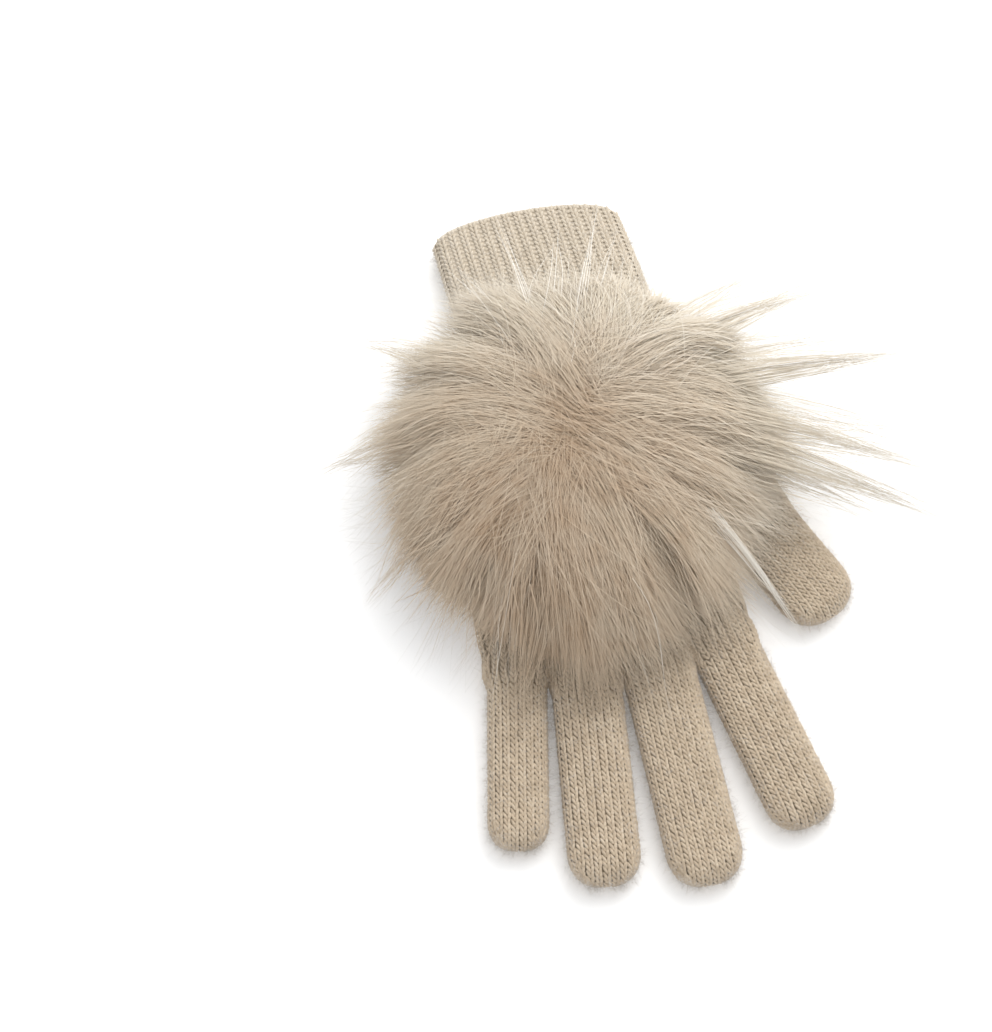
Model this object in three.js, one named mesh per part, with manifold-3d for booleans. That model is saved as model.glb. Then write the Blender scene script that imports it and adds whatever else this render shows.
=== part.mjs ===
// A knitted glove for a right hand, lying palm down, with a large fur pompom sewn to its back.
// Millimetres, +Z up. Fingers point along -Y, the ribbed cuff opens along +Y, the thumb is on +X.
// The origin is the middle of the palm's flat underside, below the pompom.
// Every knitted piece is a hollow wall, open from the cuff's mouth through the hand to each fingertip.
import * as THREE from "three";
import { mergeVertices } from "three/addons/utils/BufferGeometryUtils.js";
import Module from "manifold-3d";

const wasm = await Module();
wasm.setup();

// Driving sizes
const KNIT = 2; // thickness of the knitted wall
const GAP = 0.3; // clearance between neighbouring pieces
const OVERRUN = 6; // how far a hollow runs past the wall that it opens
const BOXINESS = 2.6; // a tube's section lies between a round one, 2, and a box
const SUNK = 0.25; // how far a tube's rounded underside is pressed flat on the surface
const TUBE_SIDES = 16;
const HAND_SIDES = 24;
const SECTION_STEPS = 384; // points on the fine outline that a section's points are spaced along

// Fingers and thumb, from a base inside the hand to the end of the fingertip, both in plan
const FINGERS = [
  { name: "little_finger", base: [-25.5, -48], tip: [-36.3, -119.2] },
  { name: "ring_finger", base: [-6.4, -48], tip: [-13.1, -133.5] },
  { name: "middle_finger", base: [12.6, -48], tip: [16.6, -137.6] },
  { name: "index_finger", base: [29.8, -48], tip: [48.6, -125] },
  { name: "thumb", base: [29, 19], tip: [69.5, -62.3] },
];

// Their sizes. root, knuckle and half are half widths at the base, at the knuckle and along the finger.
// swell and join are how far from the base the knuckle is and the finger is knitted on to the hand.
const GIRTHS = {
  little_finger: { root: 10.2, knuckle: 10.4, half: 8.8, high: 10.5, swell: 18, join: 23 },
  ring_finger: { root: 11, knuckle: 11.2, half: 10.4, high: 11, swell: 24, join: 28.5 },
  middle_finger: { root: 11, knuckle: 11.2, half: 10.9, high: 11, swell: 24, join: 28.5 },
  index_finger: { root: 11, knuckle: 11.2, half: 10.3, high: 11, swell: 18, join: 23 },
  thumb: { root: 9, knuckle: 14, half: 11.8, high: 11.5, swell: 40, join: 61 },
};
const NARROWING = 1; // how far past its join a finger reaches its own width
const TIP_PLAN = 2.3; // bluntness of a fingertip in plan: 2 is round
const TIP_SIDE = 3; // and from the side
const TIP_STATIONS = [0, 0.4, 0.7, 0.9, 0.985];

// The hand's outline in plan, from the knuckles to the wrist, and how thick it lies
const HAND = [
  { y: -66, left: -36.5, right: 43.6, high: 8.5 },
  { y: -58, left: -38, right: 43.8, high: 11 },
  { y: -44, left: -38.4, right: 42, high: 12.6 },
  { y: -14, left: -37, right: 40.2, high: 13 },
  { y: 12, left: -31.5, right: 38.8, high: 13 },
  { y: 29, left: -25.8, right: 37.4, high: 12.4 },
];
const HAND_HIGH = 13;

// The cuff's outline in plan, from the wrist to the mouth. slant is the turn of the row's left edge
// towards the wrist, and bow is how far its middle stands out past its ends.
const CUFF = [
  { y: 29, left: -25.8, right: 37.4, high: 12.4, slant: 0, bow: 0 },
  { y: 50, left: -27.6, right: 36.2, high: 12.2, slant: 0.02, bow: 1 },
  { y: 72, left: -30.2, right: 33.6, high: 12, slant: 0.04, bow: 2.4 },
  { y: 88.6, left: -32, right: 30.8, high: 12.2, slant: 0.045, bow: 3.4 },
];
const RIBS = 36;
const RIB_DEPTH = 0.8;
const POINTS_PER_RIB = 4;

// The fur pompom is one flattened dome of locks that spring from a short parting at its crown
const FUR = {
  crown: [-5, -4],
  base: HAND_HIGH - SUNK + GAP, // its flat underside rests on the back of the hand
  coreRadius: 42,
  coreTop: 35,
  coreSides: 20,
  coreSteps: 5,
  parting: 9, // half length of the parting
  partingTurn: 35, // degrees from +X
  lockSides: 5,
  rootHeight: 0.55, // where a lock starts, as a share of its rise above the base
  bendAt: 0.42, // where it bends over, as a share of its length
  tipBlunt: 0.5, // power of its taper: a smaller one keeps it broad for longer
  tipLeast: 0.06,
  unevenReach: 0.1,
  unevenRise: 2.5,
  unevenTurn: 10,
};

// How far the fur reaches from the crown in each direction, in degrees from +X
const REACH = [
  { turn: 0, reach: 80 },
  { turn: 45, reach: 71 },
  { turn: 90, reach: 68 },
  { turn: 135, reach: 64 },
  { turn: 180, reach: 60 },
  { turn: 225, reach: 64 },
  { turn: 270, reach: 70 },
  { turn: 315, reach: 75 },
];

// Rings of locks, from the lowest to the crown. share is of the reach, rise and end are the heights of
// a lock's middle and of its tip, and turn is the direction of the ring's first lock.
const TIERS = [
  { locks: 19, share: 1, root: 14, rise: 26, end: 16, wide: 19, thick: 8, turn: 0 },
  { locks: 14, share: 0.84, root: 9, rise: 36, end: 24, wide: 18, thick: 8, turn: 9 },
  { locks: 10, share: 0.6, root: 4, rise: 43, end: 35, wide: 16, thick: 8, turn: 4 },
  { locks: 5, share: 0.3, root: 0, rise: 46, end: 42, wide: 13, thick: 7, turn: 20 },
];

// Where along a lock its sections stand
const LOCK_STATIONS = [0, 0.36, 0.7, 0.985];

// Long thin wisps of guard hair that stand out past the rest
const WISPS = [
  { turn: 30, reach: 98, end: 26 },
  { turn: 12, reach: 112, end: 26 },
  { turn: -3, reach: 114, end: 20 },
  { turn: -14, reach: 114, end: 17 },
  { turn: -36, reach: 88, end: 15 },
  { turn: 180, reach: 78, end: 18 },
];
const WISP = { root: 30, rise: 27, wide: 4.6, thick: 2.6 };

// A closed mesh as a manifold-3d solid
function solidOf(geometry) {
  const bare = geometry.clone();
  bare.deleteAttribute("normal");
  bare.deleteAttribute("uv");
  const merged = mergeVertices(bare, 1e-4);
  return new wasm.Manifold(
    new wasm.Mesh({
      numProp: 3,
      vertProperties: new Float32Array(merged.attributes.position.array),
      triVerts: new Uint32Array(merged.index.array),
    }),
  );
}

// A manifold-3d solid as a geometry
function geometryOf(solid) {
  const mesh = solid.getMesh();
  const geometry = new THREE.BufferGeometry();
  geometry.setAttribute("position", new THREE.BufferAttribute(mesh.vertProperties.slice(), 3));
  geometry.setIndex(new THREE.BufferAttribute(mesh.triVerts.slice(), 1));
  geometry.computeVertexNormals();
  return geometry;
}

// A closed skin through rings of points that all have the same count, with a fan over each end.
// Each ring runs counterclockwise when seen from the last ring's side.
function loft(rings) {
  const sides = rings[0].length;
  const points = rings.flat();
  const index = [];
  for (let r = 0; r + 1 < rings.length; r++) {
    for (let k = 0; k < sides; k++) {
      const a = r * sides + k;
      const b = r * sides + ((k + 1) % sides);
      index.push(a, b, b + sides, a, b + sides, a + sides);
    }
  }
  const middleOf = (ring) => ring.reduce((sum, p) => sum.add(p), new THREE.Vector3()).divideScalar(sides);
  const last = (rings.length - 1) * sides;
  const first = points.length;
  points.push(middleOf(rings[0]), middleOf(rings.at(-1)));
  for (let k = 0; k < sides; k++) {
    const next = (k + 1) % sides;
    index.push(first, next, k, first + 1, last + k, last + next);
  }
  const geometry = new THREE.BufferGeometry().setFromPoints(points);
  geometry.setIndex(index);
  return solidOf(geometry);
}

// A tube's section, as points that are evenly spaced along its outline and start at its right edge.
// Its underside is pressed flat.
function section(half, high, sides) {
  const dense = [];
  const power = 2 / BOXINESS;
  const round = (v) => Math.sign(v) * Math.abs(v) ** power;
  for (let k = 0; k <= SECTION_STEPS; k++) {
    const turn = (2 * Math.PI * k) / SECTION_STEPS;
    const point = new THREE.Vector2(round(Math.cos(turn)) * half, round(Math.sin(turn)) * (high / 2));
    point.y = Math.max(point.y, SUNK - high / 2);
    dense.push(point);
  }
  const travelled = [0];
  for (let k = 1; k < dense.length; k++) {
    travelled.push(travelled[k - 1] + dense[k].distanceTo(dense[k - 1]));
  }
  const points = [];
  let at = 0;
  for (let k = 0; k < sides; k++) {
    const wanted = (travelled.at(-1) * k) / sides;
    while (travelled[at + 1] < wanted) at++;
    const share = (wanted - travelled[at]) / (travelled[at + 1] - travelled[at]);
    points.push(dense[at].clone().lerp(dense[at + 1], share));
  }
  return points;
}

// One ring of a knitted tube that lies on the surface. across is the plan direction from its left edge
// to its right, inset draws it in for the hollow, and bow moves its middle along the tube.
function tubeRing({ centre, across, half, high, bow = 0 }, sides, inset = 0) {
  const along = new THREE.Vector2(-across.y, across.x);
  return section(half - inset, high - 2 * inset, sides).map((point) => {
    const ahead = bow * (1 - (point.x / half) ** 2);
    return new THREE.Vector3(
      centre.x + across.x * point.x + along.x * ahead,
      centre.y + across.y * point.x + along.y * ahead,
      high / 2 + point.y - SUNK,
    );
  });
}

// A stretch of a finger between two distances along it. One that reaches the tip is closed and round.
function finger(row, from, to, inset = 0) {
  const base = new THREE.Vector2(...row.base);
  const along = new THREE.Vector2(...row.tip).sub(base);
  const length = along.length() - inset;
  along.normalize();
  const across = new THREE.Vector2(-along.y, along.x);
  const round = length - (row.half - inset); // where the fingertip starts to close
  const slim = row.join + NARROWING;
  const stops = [row.swell / 2, row.swell, slim, (slim + round) / 2];
  const stations = [from, ...stops.filter((s) => s > from + 1 && s < to - 1)];
  if (to < round) stations.push(to);
  else for (const share of TIP_STATIONS) stations.push(round + share * (length - round));
  const { lerp, smoothstep } = THREE.MathUtils;
  const rings = stations.map((s) => {
    const knuckle = lerp(row.root, row.knuckle, smoothstep(s, 0, row.swell));
    const half = lerp(knuckle, row.half, smoothstep(s, row.swell, slim));
    const closed = Math.max(0, s - round) / (length - round);
    const ring = {
      centre: base.clone().addScaledVector(along, s),
      across,
      half: inset + (half - inset) * (1 - closed ** TIP_PLAN) ** (1 / TIP_PLAN),
      high: 2 * inset + (row.high - 2 * inset) * (1 - closed ** TIP_SIDE) ** (1 / 2),
    };
    return tubeRing(ring, TUBE_SIDES, inset).map((point) => {
      point.z += (row.high - ring.high) / 2;
      return point;
    });
  });
  return loft(rings);
}

// The rings of the hand or the cuff from rows of its outline, lengthened past either end for a hollow
function sleeveRings(rows, { sides = HAND_SIDES, inset = 0, past = [0, 0] } = {}) {
  return rows.map(({ y, left, right, high, slant = 0, bow = 0 }, row) => {
    const extra = row === 0 ? -past[0] : row === rows.length - 1 ? past[1] : 0;
    const across = new THREE.Vector2(1, slant).normalize();
    const centre = new THREE.Vector2((left + right) / 2, y + extra);
    return tubeRing({ centre, across, half: (right - left) / 2, high, bow }, sides, inset);
  });
}

// A sleeve's rings run from the fingers to the wrist, so they are turned over to face outwards
const sleeve = (rings) => loft(rings.map((ring) => [...ring].reverse()));

const joined = (solids) => solids.reduce((a, b) => a.add(b));
const ROUGHNESS = 0.95;
const COLOURS = { knit: 0xc9b79d, rib: 0xcbbba3, fur: 0xd2c8b6 };

function piece(name, solid, color) {
  const material = new THREE.MeshStandardMaterial({ color, roughness: ROUGHNESS, metalness: 0 });
  const mesh = new THREE.Mesh(geometryOf(solid), material);
  mesh.name = name;
  return mesh;
}

const glove = new THREE.Group();

// Fingers and thumb, each a closed-ended tube from the line where it is knitted on
const fingers = FINGERS.map((row) => ({ ...row, ...GIRTHS[row.name] }));
for (const row of fingers) {
  const outer = finger(row, row.join + GAP / 2, Infinity);
  const hollow = finger(row, row.join - OVERRUN, Infinity, KNIT);
  glove.add(piece(row.name, outer.subtract(hollow), COLOURS.knit));
}

// The hand, with a short stub for each finger and the thumb, open at the wrist and at every stub
const handRows = HAND.map((row) => ({ ...row }));
handRows.at(-1).y -= GAP / 2;
const handOuter = joined([
  sleeve(sleeveRings(handRows)),
  ...fingers.map((row) => finger(row, 0, row.join - GAP / 2)),
]);
const handHollow = joined([
  sleeve(sleeveRings(handRows, { inset: KNIT, past: [-KNIT, OVERRUN] })),
  ...fingers.map((row) => finger(row, KNIT, row.join + OVERRUN, KNIT)),
]);
glove.add(piece("hand", handOuter.subtract(handHollow), COLOURS.knit));

// The ribbed cuff, open at both ends. Two points of each rib stand on its crest and two in its groove.
const cuffRows = CUFF.map((row) => ({ ...row }));
cuffRows[0].y += GAP / 2;
const crests = sleeveRings(cuffRows, { sides: RIBS * POINTS_PER_RIB });
const grooves = sleeveRings(cuffRows, { sides: RIBS * POINTS_PER_RIB, inset: RIB_DEPTH });
const onCrest = (k) => k % POINTS_PER_RIB < POINTS_PER_RIB / 2;
const ribbed = crests.map((ring, row) => ring.map((point, k) => (onCrest(k) ? point : grooves[row][k])));
const cuffHollow = sleeveRings(cuffRows, { inset: KNIT + RIB_DEPTH, past: [OVERRUN, OVERRUN] });
glove.add(piece("cuff", sleeve(ribbed).subtract(sleeve(cuffHollow)), COLOURS.rib));

// Share of the way, between 0 and 1, spread evenly without repeating
const scattered = (n) => (n * 0.618034) % 1;

// The fur's reach in one direction, smoothly between the table's rows
function reachAt(degrees) {
  const step = 360 / REACH.length;
  const place = (((degrees % 360) + 360) % 360) / step;
  const row = REACH[Math.floor(place) % REACH.length];
  const next = REACH[(Math.floor(place) + 1) % REACH.length];
  return THREE.MathUtils.lerp(row.reach, next.reach, THREE.MathUtils.smoothstep(place % 1, 0, 1));
}

// One tapering lock that rises from near the crown and falls outwards
function lock({ turn, root, reach, rise, end, wide, thick, sweep = 0 }) {
  const parting = THREE.MathUtils.degToRad(FUR.partingTurn);
  const heading = THREE.MathUtils.degToRad(turn);
  const shift = FUR.parting * Math.cos(heading - parting);
  const start = new THREE.Vector3(
    FUR.crown[0] + shift * Math.cos(parting) + root * Math.cos(heading),
    FUR.crown[1] + shift * Math.sin(parting) + root * Math.sin(heading),
    FUR.base + (rise - FUR.base) * FUR.rootHeight,
  );
  const tipHeading = heading + THREE.MathUtils.degToRad(sweep);
  const tip = new THREE.Vector3(
    FUR.crown[0] + reach * Math.cos(tipHeading),
    FUR.crown[1] + reach * Math.sin(tipHeading),
    end,
  );
  const bend = start.clone().lerp(tip, FUR.bendAt);
  bend.z = rise * 2 - (start.z + tip.z) / 2;
  const spine = new THREE.QuadraticBezierCurve3(start, bend, tip);
  const rings = LOCK_STATIONS.map((share) => {
    const at = spine.getPoint(share);
    const ahead = spine.getTangent(share);
    const sideways = new THREE.Vector3(-ahead.y, ahead.x, 0).normalize();
    const upwards = new THREE.Vector3().crossVectors(ahead, sideways);
    const taper = Math.max(FUR.tipLeast, Math.sin(Math.PI * (0.25 + 0.75 * share)) ** FUR.tipBlunt);
    const ring = [];
    for (let k = 0; k < FUR.lockSides; k++) {
      const angle = (2 * Math.PI * k) / FUR.lockSides;
      const point = at
        .clone()
        .addScaledVector(sideways, (Math.cos(angle) * taper * wide) / 2)
        .addScaledVector(upwards, (Math.sin(angle) * taper * thick) / 2);
      point.z = Math.max(point.z, FUR.base);
      ring.push(point);
    }
    return ring;
  });
  return loft(rings);
}

// The core is a low dome on the back of the hand
function core() {
  const profile = [new THREE.Vector2(0, FUR.base)];
  for (let k = 0; k <= FUR.coreSteps; k++) {
    const turn = (Math.PI / 2) * (k / FUR.coreSteps);
    const radius = FUR.coreRadius * Math.cos(turn);
    profile.push(new THREE.Vector2(radius, FUR.base + (FUR.coreTop - FUR.base) * Math.sin(turn)));
  }
  const dome = new THREE.LatheGeometry(profile, FUR.coreSides);
  dome.rotateX(Math.PI / 2);
  dome.translate(FUR.crown[0], FUR.crown[1], 0);
  return solidOf(dome);
}

const locks = [];
TIERS.forEach((tier, row) => {
  for (let k = 0; k < tier.locks; k++) {
    const turn = tier.turn + (360 * k) / tier.locks;
    const vary = scattered(k + 1 + 7 * row) - 0.5;
    locks.push(
      lock({
        ...tier,
        turn,
        reach: reachAt(turn) * tier.share * (1 + FUR.unevenReach * vary),
        rise: tier.rise + FUR.unevenRise * vary,
        sweep: FUR.unevenTurn * vary,
      }),
    );
  }
});
for (const wisp of WISPS) {
  locks.push(lock({ ...wisp, ...WISP }));
}
glove.add(piece("fur_pompom", joined([core(), ...locks]), COLOURS.fur));

export default glove;
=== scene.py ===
"""A knitted right-hand glove with a large fur pompom on its back, lying palm down on a pale surface.

Sizes are in millimetres, as in the solid model, and are turned into metres where a mesh is made.
The knit is a shell with a pair of yarn legs for each stitch, and the fur is ribbons of hair in tufts.
"""

import bpy
import numpy as np
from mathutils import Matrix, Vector


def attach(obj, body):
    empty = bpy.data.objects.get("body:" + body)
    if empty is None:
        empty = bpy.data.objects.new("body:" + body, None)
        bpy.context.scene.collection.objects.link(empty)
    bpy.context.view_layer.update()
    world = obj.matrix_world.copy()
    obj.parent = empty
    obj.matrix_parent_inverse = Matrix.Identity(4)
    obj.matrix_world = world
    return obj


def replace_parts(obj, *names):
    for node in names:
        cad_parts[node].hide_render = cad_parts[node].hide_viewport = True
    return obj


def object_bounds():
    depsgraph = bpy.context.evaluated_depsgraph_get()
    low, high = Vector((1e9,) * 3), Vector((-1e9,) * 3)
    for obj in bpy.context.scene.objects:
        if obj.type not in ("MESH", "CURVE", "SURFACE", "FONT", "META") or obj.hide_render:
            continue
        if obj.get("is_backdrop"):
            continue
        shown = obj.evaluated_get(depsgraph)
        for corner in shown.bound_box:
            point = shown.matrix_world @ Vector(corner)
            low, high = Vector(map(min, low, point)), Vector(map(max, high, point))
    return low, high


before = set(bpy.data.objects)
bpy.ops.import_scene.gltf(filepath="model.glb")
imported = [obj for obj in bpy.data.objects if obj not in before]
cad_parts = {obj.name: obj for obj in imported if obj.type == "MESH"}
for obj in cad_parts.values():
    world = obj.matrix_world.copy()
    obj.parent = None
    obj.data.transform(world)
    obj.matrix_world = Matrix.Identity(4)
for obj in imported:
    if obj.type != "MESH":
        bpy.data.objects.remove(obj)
cad_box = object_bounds()

MM = 0.001
rng = np.random.default_rng(20)

# Sizes of the knit, shared with the solid model
BOXINESS = 2.6  # the power of the rounded box that every tube's section is
SUNK = 0.25  # how far the underside is pressed flat
KNUCKLES, WRIST, MOUTH = -66, 29, 88.6  # y of the hand's ends and of the cuff's mouth
FINGERS = {  # base, tip, half widths at base, knuckle and beyond, height, ends of knuckle and root
    "little_finger": ((-25.5, -48), (-36.3, -119.2), 10.2, 10.4, 8.8, 10.5, 18, 23),
    "ring_finger": ((-6.4, -48), (-13.1, -133.5), 11, 11.2, 10.4, 11, 24, 28.5),
    "middle_finger": ((12.6, -48), (16.6, -137.6), 11, 11.2, 10.9, 11, 24, 28.5),
    "index_finger": ((29.8, -48), (48.6, -125), 11, 11.2, 10.3, 11, 18, 23),
    "thumb": ((29, 19), (69.5, -62.3), 9, 14, 11.8, 11.5, 40, 61),
}
FOUR = [name for name in FINGERS if name != "thumb"]
HAND = np.array([  # y, left, right, height
    (KNUCKLES, -36.5, 43.6, 8.5), (-58, -38, 43.8, 11), (-44, -38.4, 42, 12.6),
    (-14, -37, 40.2, 13), (12, -31.5, 38.8, 13), (WRIST, -25.8, 37.4, 12.4)], float)
CUFF = np.array([  # y, left, right, height, slant, bow
    (WRIST, -25.8, 37.4, 12.4, 0, 0), (50, -27.6, 36.2, 12.2, 0.02, 1),
    (72, -30.2, 33.6, 12, 0.04, 2.4), (MOUTH, -32, 30.8, 12.2, 0.045, 3.4)], float)
RIBS = 36
RIB_DEPTH = 0.8
CUFF_CORNER = 0.55  # how far the mouth's corners are rounded off, as a share of its bow

# Stitches
WALE = 2.34  # from one column of stitches to the next
COURSE = 1.66  # from one row of stitches to the next
SHELL_INSET, CUFF_SHELL_INSET = 0.62, 0.42  # the shell lies this far inside the glove's outer surface
STUB_INSET, THUMB_INSET = SHELL_INSET + 0.04, SHELL_INSET + 0.06
HAND_LINING, CUFF_LINING = 2.0, 2.6  # and the lining this far
YARN_SINK = 0.42  # and the stitches' own centres this far
PRESSED = 0.8  # height of the centres of the stitches that are pressed on the surface below
FACE_SHARE = 0.62  # columns above this share of a tube's half height lie on its face, not on its sides
EDGE = 0.93  # share of a half width at which the outermost columns on a face lie
HIDDEN = 48  # the fur hides the back of the hand this far from the crown, and no stitches are made there
THUMB_START = 4  # the thumb's columns of stitches begin this far from its base
THUMB_OVER, THUMB_UNDER = 0.9, 6.5  # and run this far into the hand's edge, above and below
HAND_SIDES = np.radians([-31, -22, -12, 0, 12, 22, 31, 149, 158, 168, 180, 192, 202, 211])
ROOT_SIDES = np.radians([-32, -16, 0, 16, 32, 148, 164, 180, 196, 212])
NOWHERE = 20  # a height out of the way, where a finger has no surface
HALF_ROUND = np.radians([180, 120, 60, 0])  # turns of the points round a piece of yarn's upper half

# Fur
CROWN = np.array([-0.5, -2.5])
PARTING_TURN = np.radians(49)
PARTING = 18.0  # half its length
REACH = np.array([  # turn in degrees, how far the fur reaches from the crown
    (0, 70), (20, 68), (42, 65), (60, 63), (84, 66.5), (102, 67), (125, 68), (150, 66), (180, 64), (215, 64),
    (240, 69), (255, 76), (265, 79), (285, 76), (305, 70.5), (325, 69.5), (345, 71), (360, 70)])
FUR_PROFILE = np.array([  # share of the reach, height
    (0, 41), (0.1, 44), (0.24, 46), (0.4, 44.5), (0.58, 39), (0.76, 30), (0.9, 21.5), (1.03, 14.5),
    (1.2, 10)])
FUR_UNDERSIDE = 13.4
CURL, CURL_TURN, CURL_WIDTH = 0.36, np.radians(176), np.radians(32)  # the hairs on the left turn downwards
BEND_GROWTH = 1.3  # the power with which a hair's bend grows along its reach
HAIRS_IN_TUFT = 16
LOCK_REACH, TUFT_REACH = 0.06, 0.07  # how much farther the hairs on a lock's or a tuft's ridge reach
LOCK_GATHER, TUFT_GATHER = 0.0075 / 4, 0.02 / 12  # how strongly hairs turn towards such a ridge
ON_HAND, FALL = 14.2, 7.0  # the lowest height of hairs on the hand, and how far they fall past its edge
OVERSHOOT = 1.17  # a bundle's longest hairs end this far along the line to its stated end


# Meshes

def mesh_object(name, points, faces, material, slot, normals=None):
    """An object from points in millimetres and an array of faces that all have as many corners."""
    corners = faces.shape[1]
    points = np.array(points, float)
    points[:, 2] = np.maximum(points[:, 2], 0.02)
    mesh = bpy.data.meshes.new(name)
    mesh.vertices.add(len(points))
    mesh.vertices.foreach_set("co", (points * MM).ravel())
    mesh.loops.add(faces.size)
    mesh.loops.foreach_set("vertex_index", faces.astype(np.int32).ravel())
    mesh.polygons.add(len(faces))
    mesh.polygons.foreach_set("loop_start", np.arange(0, faces.size, corners, dtype=np.int32))
    mesh.update(calc_edges=True)
    mesh.shade_smooth()
    if normals is not None:
        mesh.normals_split_custom_set_from_vertices(normals.tolist())
    mesh.materials.append(material)
    obj = bpy.data.objects.new(name, mesh)
    bpy.context.scene.collection.objects.link(obj)
    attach(obj, "root")
    return obj


def joined(parts):
    """Several (points, faces) as one."""
    points, faces, start = [], [], 0
    for p, f in parts:
        points.append(p)
        faces.append(f + start)
        start += len(p)
    return np.concatenate(points), np.concatenate(faces)


def grid_faces(rows, sides, closed=True, flip=False):
    """Quads between rows of points, each row going once round if closed."""
    r = np.arange(rows - 1)[:, None] * sides
    k = np.arange(sides if closed else sides - 1)[None, :]
    n = (k + 1) % sides
    quads = np.stack([r + k, r + n, r + sides + n, r + sides + k], -1).reshape(-1, 4)
    return quads[:, ::-1] if flip else quads


def end_cap(ring, outwards):
    """Quads that close a ring, from its left half to its right."""
    n = len(ring)
    k = np.arange(n // 2 - 1)
    quads = np.stack([k, k + 1, n - 2 - k, n - 1 - k], -1)
    return ring, quads if outwards else quads[:, ::-1]


def unit(v):
    return v / np.maximum(np.linalg.norm(v, axis=-1, keepdims=True), 1e-9)


def along_surface(v, normals):
    """Directions v laid on the surface that has these normals."""
    return unit(v - normals * (v * normals).sum(-1, keepdims=True))


def smoothstep(x, low, high):
    t = np.clip((x - low) / (high - low), 0, 1)
    return t * t * (3 - 2 * t)


def power(v, p):
    return np.sign(v) * np.abs(v) ** p


def box_round(turn):
    """Across and up on the rounded box at a turn, each from -1 to 1."""
    return power(np.cos(turn), 2 / BOXINESS), power(np.sin(turn), 2 / BOXINESS)


def box_height(share):
    """The rounded box's height at a share of its half width, from 1 to 0."""
    return np.maximum(0, 1 - share**BOXINESS) ** (1 / BOXINESS)


def section_run(half, high):
    """Turns round a tube's section, and how far round its outline each is."""
    turn = np.linspace(0, 2 * np.pi, 4001)
    c, sn = box_round(turn)
    steps = np.hypot(np.diff(c * half), np.diff(np.maximum(sn * high / 2, SUNK - high / 2)))
    return turn, np.concatenate([[0], np.cumsum(steps)])


def section_turns(half, high, count):
    """Turns of points that are evenly spaced round a tube's section."""
    turn, run = section_run(half, high)
    return np.interp((np.arange(count) + 0.5) / count * run[-1], run, turn)


def smooth_rows(y, table):
    """A table's columns at y, on a smooth curve through its rows."""
    ys = table[:, 0]
    slopes = np.gradient(table[:, 1:], ys, axis=0)
    i = np.clip(np.searchsorted(ys, y) - 1, 0, len(ys) - 2)
    step = ys[i + 1] - ys[i]
    t = ((y - ys[i]) / step)[..., None]
    step = step[..., None]
    a, b = table[i, 1:], table[i + 1, 1:]
    return (
        (2 * t**3 - 3 * t**2 + 1) * a + (t**3 - 2 * t**2 + t) * step * slopes[i]
        + (3 * t**2 - 2 * t**3) * b + (t**3 - t**2) * step * slopes[i + 1]
    )


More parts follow.
